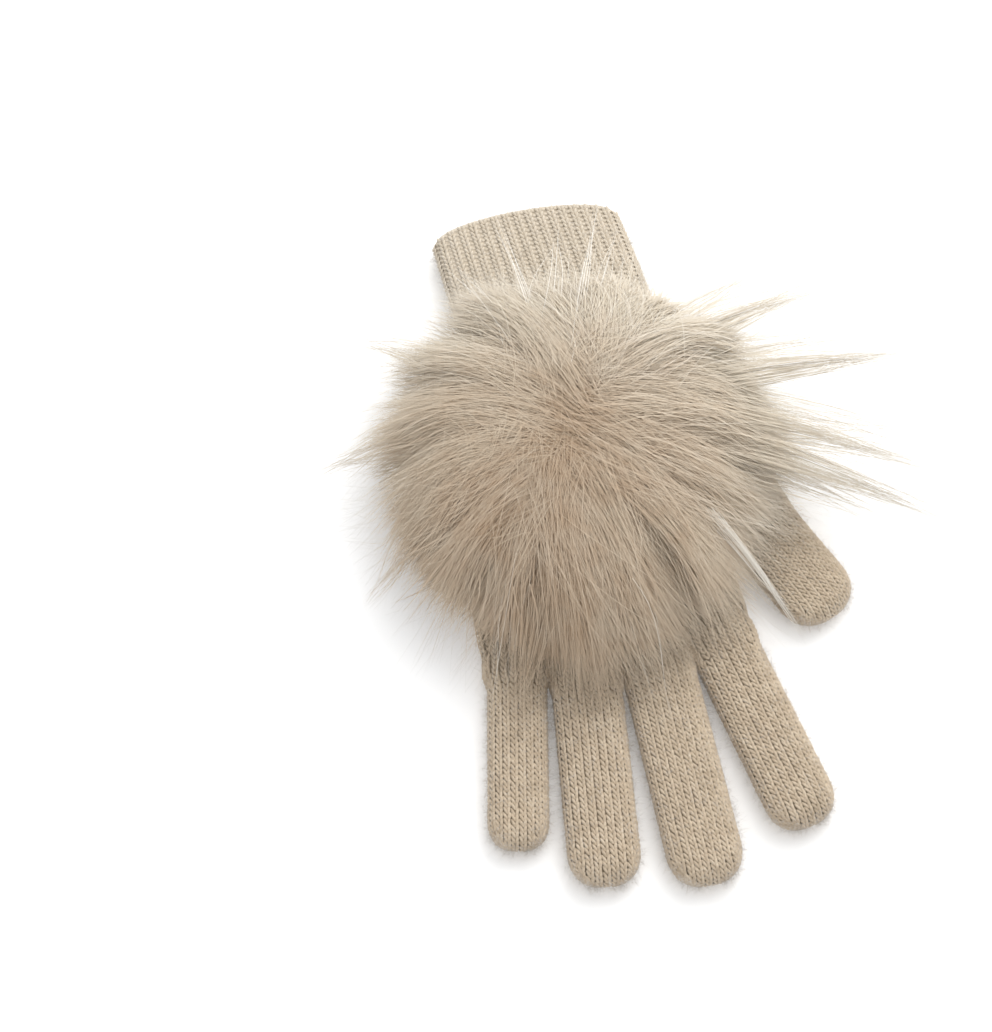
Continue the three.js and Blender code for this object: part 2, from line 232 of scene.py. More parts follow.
class Finger:
    """A finger's or the thumb's surface. s runs along it from its base, and x across it."""

    def __init__(self, base, tip, root, knuckle, half, high, swell, join):
        self.base = np.array(base, float)
        along = np.array(tip, float) - self.base
        self.length = np.linalg.norm(along)
        self.along = along / self.length
        self.across = np.array([-self.along[1], self.along[0]])
        self.root, self.knuckle, self.half, self.high = root, knuckle, half, high
        self.swell, self.join = swell, join
        self.round = self.length - half  # where the tip's rounding begins

    def half_at(self, s):
        k = self.root + (self.knuckle - self.root) * smoothstep(s, 0, self.swell)
        return k + (self.half - k) * smoothstep(s, self.swell, self.join + 1)

    def closed(self, s):
        return np.clip((s - self.round) / (self.length - self.round), 0, 1)

    def half_tip(self, s):
        return self.half_at(s) * (1 - self.closed(s) ** 2.3) ** (1 / 2.3)

    def high_tip(self, s):
        return self.high * (1 - self.closed(s) ** 3) ** 0.5

    def middle(self):
        return self.high / 2 - SUNK

    def place(self, x, s, z):
        plan = self.base + s[..., None] * self.along + x[..., None] * self.across
        return np.concatenate([plan, z[..., None]], -1)

    def normal(self, x, s, z):
        """The surface's outward normal, from the slope of its equation."""
        def f(x, s, z):
            a = np.abs(x / np.maximum(self.half_tip(s), 0.3)) ** BOXINESS
            return a + np.abs((z - self.middle()) / np.maximum(self.high_tip(s) / 2, 0.3)) ** BOXINESS
        e = 0.05
        g = np.stack([f(x + e, s, z) - f(x - e, s, z),
                      f(x, s + e, z) - f(x, s - e, z),
                      f(x, s, z + e) - f(x, s, z - e)], -1)
        flat = (z < 0.02) & (s < self.round)
        g[flat] = (0, 0, -1)
        g = unit(g)
        plan = g[..., 0:1] * self.across + g[..., 1:2] * self.along
        return unit(np.concatenate([plan, g[..., 2:3]], -1))

    def columns(self):
        """Turns of the columns of stitches round the finger."""
        _, run = section_run(self.half, self.high)
        return section_turns(self.half, self.high, int(round(run[-1] / WALE / 2)) * 2)

    def wale(self, turn, start):
        """A column of stitches that begins at start.

        It gives points a course apart, their directions towards the tip, their normals and their widths.
        """
        c, sn = box_round(turn)
        on_side = abs(sn) < FACE_SHARE
        if on_side:  # the column runs round the tip's rim and narrows
            end = self.length - 0.05
        else:  # the column keeps its width and ends where the tip gets too narrow for it
            tips = np.linspace(self.round, self.length, 600)
            end = tips[np.searchsorted(-self.half_tip(tips), -abs(c) * self.half) - 1]
        s = start + (end - start) * (1 - (1 - np.linspace(0, 1, 900)) ** 2)
        half, high = self.half_tip(s), self.high_tip(s) / 2
        if on_side:
            x, z = c * half, sn * high
        else:
            x = c * self.half_at(s)
            z = np.sign(sn) * high * box_height(np.abs(x / np.maximum(half, 1e-6)))
        z = np.maximum(z + self.middle(), self.middle() + SUNK - high)
        p = self.place(x, s, z)
        run = np.concatenate([[0], np.cumsum(np.linalg.norm(np.diff(p, axis=0), axis=1))])
        count = int(round(run[-1] / COURSE))
        at = (np.arange(count) + 0.5) * run[-1] / count
        xs, ss, zs = (np.interp(at, run, v) for v in (x, s, z))
        e = 0.3
        ahead = [np.interp(at + e, run, p[:, k]) - np.interp(at - e, run, p[:, k]) for k in range(3)]
        narrow = self.half_tip(ss) / self.half_at(ss) if on_side else np.ones(count)
        keep = narrow > 0.22
        parts = (self.place(xs, ss, zs), unit(np.stack(ahead, -1)), self.normal(xs, ss, zs),
                 np.clip(narrow * 1.15, 0.3, 1))
        return tuple(part[keep] for part in parts)

    def tube(self, start, inset, sides=28, rows=40):
        """The closed-ended shell, as (points, quads)."""
        c, sn = box_round(section_turns(self.half, self.high, sides))
        s = start + (self.length - inset - start) * (1 - (1 - np.linspace(0, 1, rows)) ** 1.7)
        s = s[:, None] * np.ones(sides)
        half = np.maximum(self.half_tip(s + inset * 0.5) - inset, 0.02)
        high = np.maximum(self.high_tip(s + inset * 0.5) / 2 - inset, 0.02)
        z = np.maximum(self.middle() + sn * high, self.middle() + SUNK - high)
        points = self.place(c * half, s, z).reshape(-1, 3)
        return joined([(points, grid_faces(rows, sides, flip=True)), end_cap(points[-sides:], False)])

    def stub(self, end, inset, sides=28, rows=14):
        """The open shell from the finger's base to end, as (points, quads)."""
        c, sn = box_round(section_turns(self.half, self.high, sides))
        s = np.linspace(0, end, rows)[:, None] * np.ones(sides)
        high = self.high / 2 - inset
        z = np.maximum(self.middle() + sn * high, self.middle() + SUNK - high) * np.ones_like(s)
        points = self.place(c * (self.half_at(s) - inset), s, z)
        return points.reshape(-1, 3), grid_faces(rows, sides, flip=True)

    def inside(self, p, margin):
        """Whether points in plan lie on the finger, at least margin from its edge."""
        q = p[..., :2] - self.base
        s, x = q @ self.along, q @ self.across
        return (s > 0) & (s < self.length - margin) & (np.abs(x) < self.half_tip(s) - margin)

    def top(self, x, y):
        q = np.stack([x, y], -1) - self.base
        s, across = q @ self.along, q @ self.across
        share = np.abs(across / np.maximum(self.half_tip(s), 1e-6))
        z = self.middle() + self.high_tip(s) / 2 * box_height(share)
        return np.where((share < 1) & (s > 0), z, -NOWHERE)

    def bottom(self, x, y):
        high = self.top(x, y)
        return np.where(high > -NOWHERE, np.maximum(2 * self.middle() - high, 0), NOWHERE)


fingers = {name: Finger(*row) for name, row in FINGERS.items()}


# Stitches

def leg(from_b, to_b, length, width, lift):
    """One leg of a stitch, as points across (b), along and out of the fabric. Its two ends dip into it."""
    rows = []
    for q, swell, rise in ((0.0, 0.55, -0.42), (0.34, 1.0, 0.9), (0.68, 1.0, 0.9), (1.0, 0.5, -0.42)):
        b, t, radius = from_b + (to_b - from_b) * q, (q - 0.5) * length, width / 2 * swell
        for turn in HALF_ROUND:
            rows.append((b + np.cos(turn) * radius, t, lift * rise + np.sin(turn) * radius * 0.9))
    return np.array(rows)


PLAIN_LEGS = leg(-0.92, 0.20, 2.35, 1.02, 0.16), leg(0.86, 0.56, 2.45, 0.98, 0.22)
RIB_LEGS = leg(-1.05, -0.24, 2.3, 1.05, 0.2), leg(1.05, 0.24, 2.3, 1.05, 0.2)
LEG_FACES = grid_faces(4, 4, closed=False)


def stitches(points, ahead, normals, across_scale=1.0, legs=PLAIN_LEGS):
    """Two legs of yarn for each stitch."""
    n = len(points)
    side = unit(np.cross(normals, ahead))
    ahead = unit(np.cross(side, normals))
    points = points - normals * YARN_SINK
    points[:, 2] = np.maximum(points[:, 2], PRESSED)
    scale = np.broadcast_to(across_scale, n)[:, None, None]
    out = []
    for template in legs:
        jitter = rng.normal(0, 0.045, (n, 1, 3))
        grow = 1 + rng.normal(0, 0.05, (n, 1, 1))
        b = (template[None, :, 0:1] * grow + jitter[..., 0:1]) * scale
        t = template[None, :, 1:2] + jitter[..., 1:2]
        up = template[None, :, 2:3] * grow + jitter[..., 2:3] * 0.6
        p = points[:, None] + b * side[:, None] + t * ahead[:, None] + up * normals[:, None]
        faces = LEG_FACES[None] + (np.arange(n) * len(template))[:, None, None]
        out.append((p.reshape(-1, 3), faces.reshape(-1, 4)))
    return joined(out)


# Materials

def node_material(name):
    material = bpy.data.materials.new(name)
    material.use_nodes = True
    nodes, links = material.node_tree.nodes, material.node_tree.links
    return material, nodes, links, nodes["Principled BSDF"]


def set_inputs(node, values):
    for name, value in values.items():
        node.inputs[name].default_value = value


def noise(nodes, links, where, scale, detail):
    """A noise texture on the object's own coordinates."""
    node = nodes.new("ShaderNodeTexNoise")
    set_inputs(node, {"Scale": scale, "Detail": detail})
    links.new(where.outputs["Object"], node.inputs["Vector"])
    return node.outputs["Fac"]


def ramp(nodes, links, factor, positions, colours):
    """A ramp of linear colours, driven by a factor."""
    node = nodes.new("ShaderNodeValToRGB")
    elements = node.color_ramp.elements
    while len(elements) < len(positions):
        elements.new(0.5)
    for element, position, colour in zip(elements, positions, colours):
        element.position = position
        element.color = (*colour, 1)
    links.new(factor, node.inputs["Fac"])
    return node.outputs["Color"]


def knit_material(name, tones, paler=None):
    """Soft yarn of mixed fibres: blotches of tone over many stitches, and a fine mottle within each.

    The cuff's yarn turns to its paler tones towards the mouth. The ground materials use darker tones, which
    are painted shade.
    """
    material, nodes, links, shader = node_material(name)
    where = nodes.new("ShaderNodeTexCoord")
    mix = nodes.new("ShaderNodeMix")
    mix.inputs["Factor"].default_value = 0.6
    links.new(noise(nodes, links, where, 260, 3), mix.inputs["A"])
    links.new(noise(nodes, links, where, 900, 4), mix.inputs["B"])
    positions = 0.3, 0.5, 0.7
    colour = ramp(nodes, links, mix.outputs["Result"], positions, tones)
    if paler:
        pale = ramp(nodes, links, mix.outputs["Result"], positions, paler)
        split, along = nodes.new("ShaderNodeSeparateXYZ"), nodes.new("ShaderNodeMapRange")
        set_inputs(along, {"From Min": 24 * MM, "From Max": 58 * MM})
        blend = nodes.new("ShaderNodeMix")
        blend.data_type = "RGBA"
        links.new(where.outputs["Object"], split.inputs["Vector"])
        links.new(split.outputs["Y"], along.inputs["Value"])
        links.new(along.outputs["Result"], blend.inputs["Factor"])
        links.new(colour, blend.inputs["A"])
        links.new(pale, blend.inputs["B"])
        colour = blend.outputs["Result"]
    links.new(colour, shader.inputs["Base Color"])
    bump = nodes.new("ShaderNodeBump")
    set_inputs(bump, {"Strength": 0.55, "Distance": 0.2 * MM})
    links.new(noise(nodes, links, where, 3200, 3), bump.inputs["Height"])
    links.new(bump.outputs["Normal"], shader.inputs["Normal"])
    set_inputs(shader, {"Roughness": 0.9, "Specular IOR Level": 0.2, "Sheen Weight": 0.35,
                        "Sheen Roughness": 0.5})
    return material


def fur_material(name, tones, roughness=0.6):
    """Hair that is brown at the crown, warm towards the fingers and pale towards the cuff, the right and its
    tips. The paling towards the cuff and the right is partly the hair's own colour and partly painted light
    on the side that faces the key light.
    """
    material, nodes, links, shader = node_material(name)
    where = nodes.new("ShaderNodeTexCoord")
    away, toward_lit_side = nodes.new("ShaderNodeVectorMath"), nodes.new("ShaderNodeVectorMath")
    away.operation = "DISTANCE"
    away.inputs[1].default_value = (CROWN[0] * MM, CROWN[1] * MM, 36 * MM)
    # Partly painted light: the colour pales along this direction, towards the cuff and the right, where the
    # key light falls.
    toward_lit_side.operation = "DOT_PRODUCT"
    toward_lit_side.inputs[1].default_value = (3.2, 7.6, 0)
    for node in (away, toward_lit_side):
        links.new(where.outputs["Object"], node.inputs[0])
    offset = nodes.new("ShaderNodeMath")
    offset.operation = "ADD"
    offset.inputs[1].default_value = -0.38
    links.new(toward_lit_side.outputs["Value"], offset.inputs[0])
    total = offset.outputs[0]
    fine, broad = noise(nodes, links, where, 150, 5), noise(nodes, links, where, 34, 2)
    for source, weight in ((away.outputs["Value"], 9.5), (fine, 0.5), (broad, 0.45)):
        added = nodes.new("ShaderNodeMath")
        added.operation = "MULTIPLY_ADD"
        added.inputs[1].default_value = weight
        links.new(source, added.inputs[0])
        links.new(total, added.inputs[2])
        total = added.outputs[0]
    links.new(ramp(nodes, links, total, (0.05, 0.3, 0.8), tones), shader.inputs["Base Color"])
    set_inputs(shader, {"Roughness": roughness, "Specular IOR Level": 0.2, "Sheen Weight": 0.3})
    return material


# Tones from dark to light. The ground tones are painted shade: the shell between the yarn legs is darker
# than the yarn, to stand for the shade in the gaps between stitches.
YARN_TONES = (0.44, 0.35, 0.25), (0.57, 0.465, 0.345), (0.70, 0.595, 0.46)
SHADED_GROUND_TONES = (0.25, 0.19, 0.13), (0.31, 0.24, 0.17), (0.37, 0.29, 0.21)
# The hand's painted shade is paler than the fingers'. This is painted light that lifts the fur's shadow over
# the hand.
HAND_SHADED_GROUND_TONES = (0.36, 0.285, 0.205), (0.43, 0.345, 0.255), (0.50, 0.41, 0.31)
PALE_YARN_TONES = (0.58, 0.505, 0.40), (0.655, 0.575, 0.465), (0.73, 0.65, 0.54)
PALE_SHADED_GROUND_TONES = (0.52, 0.45, 0.35), (0.60, 0.52, 0.41), (0.68, 0.60, 0.49)
KNIT = knit_material("knit_yarn", YARN_TONES)
KNIT_SHADED_GROUND = knit_material("knit_shaded_ground", SHADED_GROUND_TONES)
HAND_SHADED_GROUND = knit_material("hand_shaded_ground", HAND_SHADED_GROUND_TONES)
RIB = knit_material("rib_yarn", YARN_TONES, PALE_YARN_TONES)
RIB_SHADED_GROUND = knit_material("rib_shaded_ground", SHADED_GROUND_TONES, PALE_SHADED_GROUND_TONES)
FUZZ = knit_material("yarn_fuzz", ((0.50, 0.47, 0.43), (0.60, 0.57, 0.54), (0.70, 0.68, 0.65)))
FUR_UNDER = fur_material("fur_under", ((0.51, 0.375, 0.255), (0.61, 0.495, 0.37), (0.71, 0.625, 0.505)))
FUR_WARM = fur_material("fur_warm", ((0.53, 0.39, 0.265), (0.63, 0.515, 0.385), (0.735, 0.655, 0.53)))
FUR_PALE = fur_material("fur_pale", ((0.565, 0.43, 0.30), (0.66, 0.55, 0.42), (0.76, 0.685, 0.565)))
FUR_GUARD = fur_material("fur_guard", ((0.60, 0.47, 0.34), (0.70, 0.59, 0.46), (0.80, 0.74, 0.64)), 0.45)
FUR_WHITE = fur_material("fur_white", ((0.78, 0.71, 0.61), (0.84, 0.79, 0.71), (0.90, 0.87, 0.81)), 0.4)


# Fingers and thumb

def hand_row(y):
    """The hand's middle, half width and height at y."""
    left, right, high = np.moveaxis(smooth_rows(np.clip(y, KNUCKLES, WRIST), HAND), -1, 0)
    return (left + right) / 2, (right - left) / 2, high


def hand_top(x, y):
    """Height of the back of the hand, with the finger roots blended in."""
    cx, half, high = hand_row(y)
    share = np.abs((x - cx) / half)
    z = high / 2 - SUNK + high / 2 * box_height(share)
    tops = [np.where((share < 1) & (y > KNUCKLES), z, -NOWHERE)]
    tops = np.stack(tops + [fingers[name].top(x, y) for name in FOUR])
    highest = tops.max(0)
    soft = 0.6
    return highest + soft * np.log(np.exp((tops - highest) / soft).sum(0))


def hand_bottom(x, y):
    """Height of the palm's side of the hand, with the finger roots."""
    cx, half, high = hand_row(y)
    z = high / 2 - SUNK - high / 2 * box_height(np.abs((x - cx) / half))
    bottoms = [np.where(y > KNUCKLES - 0.5, z, NOWHERE)]
    bottoms += [fingers[name].bottom(x, y) for name in FOUR]
    return np.clip(np.min(bottoms, axis=0), 0, 12)


def in_hand(p, margin):
    cx, half, _ = hand_row(p[..., 1])
    return (np.abs(p[..., 0] - cx) < half - margin) & (p[..., 1] > KNUCKLES + 2) & (p[..., 1] < WRIST)


stitch_places = {}  # where fuzz can grow on each node: (slot, points, normals)


def finger_pieces(name):
    """The yarn and the shell below it, of a finger beyond its root or of the whole thumb."""
    f = fingers[name]
    thumb = name == "thumb"
    columns = [f.wale(turn, THUMB_START if thumb else f.join) for turn in f.columns()]
    points, ahead, normals, widths = (np.concatenate([c[k] for c in columns]) for k in range(4))
    if thumb:
        keep = ~np.where(normals[:, 2] < -0.5, in_hand(points, THUMB_UNDER), in_hand(points, THUMB_OVER))
        points, ahead, normals, widths = points[keep], ahead[keep], normals[keep], widths[keep]
    stitch_places[name] = ("knit", points, normals)
    shell = f.tube(0, THUMB_INSET) if thumb else f.tube(f.join - 1, SHELL_INSET)
    yield mesh_object(f"{name}_knit", *stitches(points, ahead, normals, widths), KNIT, "knit")
    # The shell is coloured with painted shade for the gaps between stitches.
    yield mesh_object(f"{name}_ground", *shell, KNIT_SHADED_GROUND, "knit")


for name in FINGERS:
    for piece in finger_pieces(name):
        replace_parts(piece, name)


# Hand

LEVELS = WRIST - 0.8 - COURSE * (np.arange(70) + 0.5)  # y of the rows of stitches


def height_normal(height, x, y, face):
    """Outward normals of a surface given by its height, which faces up (1) or down (-1)."""
    e = 0.35
    slope_x = np.clip((height(x + e, y) - height(x - e, y)) / (2 * e), -3, 3)
    slope_y = np.clip((height(x, y + e) - height(x, y - e)) / (2 * e), -3, 3)
    return unit(face * np.stack([-slope_x, -slope_y, np.ones_like(y)], -1))


def face_columns():
    """The fingers' columns of stitches run on over the hand, above and below, and gather at the wrist."""
    lines = []
    for name in FOUR:
        f = fingers[name]
        c, sn = box_round(f.columns())
        beside = EDGE * f.half  # one more column on each side where another finger follows
        first = [] if name == "little_finger" else [-beside]
        last = [] if name == "index_finger" else [beside]
        lines += [(f, x) for x in (*first, *np.sort(c[sn > FACE_SHARE] * f.half), *last)]
    for j, (f, x) in enumerate(lines):
        def line(y):
            s = (y - f.base[1] - f.across[1] * x) / f.along[1]
            knuckle = f.base[0] + f.along[0] * s + f.across[0] * x * f.half_at(s) / f.half
            cx, half, _ = hand_row(y)
            spread = cx + half * EDGE * (2 * (j + 0.5) / len(lines) - 1)
            return spread + (knuckle - spread) * smoothstep(-y, 36, 68)

        y = LEVELS[LEVELS > f.base[1] + f.along[1] * f.join + f.across[1] * x]
        px = line(y)
        e = 0.5
        ahead = unit(np.stack([line(y - e) - line(y + e), np.full_like(y, -2 * e), np.zeros_like(y)], -1))
        _, half, _ = hand_row(y)
        widths = half * EDGE * 2 / len(lines) / WALE
        widths += (1 - widths) * smoothstep(-y, 36, 60)
        for height, face in ((hand_top, 1), (hand_bottom, -1)):
            normals = height_normal(height, px, y, face)
            points = np.stack([px, y, height(px, y)], -1)
            keep = (face < 0) | (np.hypot(px - CROWN[0], y - CROWN[1]) > HIDDEN)
            yield points[keep], along_surface(ahead, normals)[keep], normals[keep], widths[keep]


def root_level(upward):
    """Beyond this y the outer finger roots stand out past the hand's own sides, first near the palm."""
    return -60 if upward > -0.1 else -50


def side_columns():
    """Columns of stitches along the hand's two sides."""
    for turn in HAND_SIDES:
        c, sn = box_round(turn)
        y = LEVELS[LEVELS > root_level(sn)]
        cx, half, high = hand_row(y)
        points = np.stack([cx + c * half, y, np.maximum(high / 2 - SUNK + sn * high / 2, 0)], -1)
        slope = 2 - 2 / BOXINESS
        outwards = unit(np.array([power(np.cos(turn), slope), 0, power(np.sin(turn), slope) * 3]))
        normals = np.tile(outwards, (len(y), 1))
        ahead = along_surface(np.gradient(points, axis=0), normals)
        keep = ~fingers["thumb"].inside(points, THUMB_OVER)
        yield points[keep], ahead[keep], normals[keep], np.ones(keep.sum())


def root_columns():
    """Columns of stitches along the sides of the four finger roots, where nothing else covers them."""
    for name in FOUR:
        f = fingers[name]
        s = np.arange(f.join - COURSE / 2, 1, -COURSE)
        for turn in ROOT_SIDES:
            c, sn = box_round(turn)
            x, z = c * f.half_at(s), np.full_like(s, f.middle() + sn * f.high / 2)
            points = f.place(x, s, z)
            ahead = np.tile(np.append(f.along, 0), (len(s), 1))
            outer = name == "little_finger" and c < 0 or name == "index_finger" and c > 0
            keep = points[:, 1] < root_level(sn) if outer else ~in_hand(points, 1.0)
            for other in FINGERS:
                if other != name:
                    keep &= ~fingers[other].inside(points, 0.8)
            yield points[keep], ahead[keep], f.normal(x, s, z)[keep], np.full(keep.sum(), 0.9)


def bowed(share, bow):
    """How far a cuff's row bows towards the mouth at a share of its half width, with rounded corners."""
    return bow * (1 - share**2 - CUFF_CORNER * share**12)


def sleeve_shell(row_at, ys, inset, sides, relief=None, flip=True):
    """A tube shell through sections at ys, each (centre x, half width, height, slant, bow)."""
    rings = []
    for y in ys:
        cx, half, high, slant, bow = row_at(y)
        c, sn = box_round(section_turns(half, high, sides))
        out = 0 if relief is None else relief(np.arange(sides) / sides)
        x = c * (half - inset + out)
        rise = high / 2 - inset + out
        z = high / 2 - SUNK + np.maximum(sn * rise, SUNK - rise)
        rings.append(np.stack([cx + x, y + slant * x + bowed(x / half, bow), z], -1))
    return np.concatenate(rings), grid_faces(len(ys), sides, flip=flip)


def hand_at(y):
    cx, half, high = hand_row(np.array(float(y)))
    return float(cx), float(half), float(high), 0, 0


columns = [*face_columns(), *side_columns(), *root_columns()]
points, ahead, normals, widths = (np.concatenate([column[k] for column in columns]) for k in range(4))
stitch_places["hand"] = ("knit", points, normals)
hand_yarn = stitches(points, ahead, normals, widths)
shell = sleeve_shell(hand_at, np.linspace(KNUCKLES, WRIST, 40), SHELL_INSET, 56, flip=False)
lining = sleeve_shell(hand_at, np.linspace(KNUCKLES + 6, WRIST, 16), HAND_LINING, 32, flip=True)
caps = [end_cap(shell[0][:56], True), end_cap(lining[0][:32], False)]
stubs = [fingers[name].stub(fingers[name].join + 1.5, STUB_INSET) for name in FOUR]
hand_shaded_ground = joined([shell, lining, *caps, *stubs])
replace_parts(mesh_object("hand_knit", *hand_yarn, KNIT, "knit"), "hand")
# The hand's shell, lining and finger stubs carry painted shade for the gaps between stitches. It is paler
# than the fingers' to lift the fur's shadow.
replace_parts(mesh_object("hand_shaded_ground", *hand_shaded_ground, HAND_SHADED_GROUND, "knit"), "hand")


# Cuff

def cuff_at(y):
    """The cuff's middle, half width, height, slant and bow at y."""
    row = smooth_rows(np.clip(np.array(float(y)), WRIST, MOUTH), CUFF)
    left, right, high, slant, bow = (float(v) for v in row)
    return (left + right) / 2, (right - left) / 2, high, slant, bow


def rib_relief(share):
    """How far a rib's surface lies inside its crest. A crest is in the middle of each rib."""
    return -RIB_DEPTH * (0.5 + 0.5 * np.cos(2 * np.pi * share * RIBS))


def cuff_column(share, sunk):
    """Stitches along the cuff at a share of the way round: points, directions to the hand and normals."""
    points, normals = [], []
    count = RIBS * 2
    for y in np.arange(WRIST + 0.8, MOUTH - 0.2, COURSE):
        cx, half, high, slant, bow = cuff_at(y)
        c, sn = box_round(section_turns(half, high, count)[int(round(share * count)) % count])
        x, z = c * half, max(high / 2 - SUNK + sn * high / 2, 0)
        n = np.array([power(c, BOXINESS - 1) / half, 0, power(sn, BOXINESS - 1) / (high / 2)])
        n = np.array([0, 0, -1.0]) if z < 0.02 else unit(n)
        points.append(np.array([cx + x, y + slant * x + bowed(x / half, bow), z]) - sunk * n)
        normals.append(n)
    points = np.array(points)
    return points, unit(-np.gradient(points, axis=0)), np.array(normals)


def purl_bumps(points, ahead, normals):
    """A short bar of yarn across the fabric for each stitch, bowed outwards in its middle."""
    side = unit(np.cross(normals, ahead))
    rows = []
    for q, rise in ((-1, -0.5), (-0.4, 0.12), (0.4, 0.12), (1, -0.5)):
        for turn in HALF_ROUND:
            rows.append((q * 0.95, np.cos(turn) * 0.5, rise + np.sin(turn) * 0.42))
    template = np.array(rows)
    jitter = rng.normal(0, 0.05, (len(points), 1, 3))
    b, t, up = (template[None, :, k : k + 1] + jitter[..., k : k + 1] for k in range(3))
    p = (points - normals * 0.3)[:, None] + b * side[:, None] + t * ahead[:, None] + up * normals[:, None]
    p[..., 2] = np.maximum(p[..., 2], 0.1)
    faces = LEG_FACES[None, :, ::-1] + (np.arange(len(points)) * len(template))[:, None, None]
    return p.reshape(-1, 3), faces.reshape(-1, 4)


def all_columns(columns):
    return (np.concatenate([column[k] for column in columns]) for k in range(3))


purls = purl_bumps(*all_columns([cuff_column(k / RIBS, RIB_DEPTH * 0.45) for k in range(RIBS)]))
points, ahead, normals = all_columns([cuff_column((k + 0.5) / RIBS, 0) for k in range(RIBS)])
stitch_places["cuff"] = ("rib_knit", points, normals)
cuff_yarn = joined([stitches(points, ahead, normals, 1.0, RIB_LEGS), purls])
ys = np.linspace(WRIST - 0.8, MOUTH, 30)
sides = RIBS * 6
outer = sleeve_shell(cuff_at, ys, CUFF_SHELL_INSET, sides, lambda share: rib_relief(share) * 0.4, flip=False)
inner = sleeve_shell(cuff_at, ys, CUFF_LINING, sides, lambda share: -rib_relief(share) * 0.7, flip=True)
mouth = outer[0][-sides:], inner[0][-sides:]
lip = (mouth[0] + mouth[1]) / 2 + np.array([0, 1.0, 0])  # it bulges out of the mouth by 1 mm
rim = np.concatenate([mouth[0], lip, mouth[1]]), grid_faces(3, sides, flip=False)
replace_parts(mesh_object("cuff_knit", *cuff_yarn, RIB, "rib_knit"), "cuff")
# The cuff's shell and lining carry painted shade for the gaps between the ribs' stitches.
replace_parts(mesh_object("cuff_ground", *joined([outer, inner, rim]), RIB_SHADED_GROUND, "rib_knit"), "cuff")


# Fur

def reach_at(turn):
    """How far the fur reaches from the crown at a turn."""
    return np.interp(np.mod(turn, 2 * np.pi), np.radians(REACH[:, 0]), REACH[:, 1])


def fur_height(share):
    """Height of the fur's surface at a share of its reach from the crown."""
    return np.interp(share, FUR_PROFILE[:, 0], FUR_PROFILE[:, 1])


class Waves:
    """A smooth random function of direction, as a sum of waves."""

    def __init__(self, orders, size):
        self.orders = np.array(orders, float)
        self.sizes = size * rng.normal(0, 1, len(orders)) / np.sqrt(len(orders)) * 1.4
        self.phases = rng.uniform(0, 2 * np.pi, len(orders))

    def __call__(self, turn):
        return (self.sizes * np.cos(self.orders * turn[..., None] + self.phases)).sum(-1)

    def slope(self, turn):
        return (-self.sizes * self.orders * np.sin(self.orders * turn[..., None] + self.phases)).sum(-1)


# Broad locks turn aside together, and the low ridges between them catch the light
SWIRL = Waves([2, 3, 4, 5], 0.06)
LOCKS = Waves([7, 9, 11, 13, 17], 0.8)
TUFTS = Waves([23, 29, 31, 37, 43, 53, 61], 0.6)


def swirl_at(turn):
    """How far the hairs that leave the crown at a turn bend aside."""
    off = np.mod(turn - CURL_TURN + np.pi, 2 * np.pi) - np.pi
    return SWIRL(turn) + CURL * np.exp(-((off / CURL_WIDTH) ** 2))


def ridges(turn, share):
    """Height of the locks' and tufts' ridges at a turn and a share of the reach."""
    return (LOCKS(turn) + TUFTS(turn) * share) * np.sin(np.pi * np.minimum(share * 0.85 + 0.1, 1))


def fur_normals(points):
    """Outward from a low dome, so that neighbouring hairs catch the light alike."""
    away = points - np.array([*CROWN, 4.0])
    return unit(away / np.array([72.0, 72.0, 44.0]) ** 2)


def ribbons(paths, widths, roll):
    """Flat hairs along paths (n, steps, 3) with widths (n, steps), turned by roll about their own line."""
    n, steps, _ = paths.shape
    ahead = unit(np.gradient(paths, axis=1))
    side = unit(np.cross(ahead, paths - np.array([*CROWN, -25.0])))
    up = np.cross(side, ahead)
    side = np.cos(roll)[:, None, None] * side + np.sin(roll)[:, None, None] * up
    half = widths[..., None] / 2
    points = np.stack([paths - side * half, paths + side * half], 2).reshape(-1, 3)
    start = (np.arange(n) * steps * 2)[:, None, None]
    k = np.arange(steps - 1)[None, :, None] * 2
    quads = start + k + np.array([0, 1, 3, 2])
    return points, quads.reshape(-1, 4)


def taper(n, steps, width, tip):
    """Widths along n hairs, which are widest in the middle and narrow to a share of it at the tip."""
    t = np.linspace(0, 1, steps)[None]
    grow = np.exp(rng.normal(0, 0.25, (n, 1)))
    swell = 0.6 + 0.4 * np.sin(np.pi * np.minimum(1, t + 0.15)) ** 0.5
    return width * grow * swell * (1 - t**2.4 * (1 - tip))


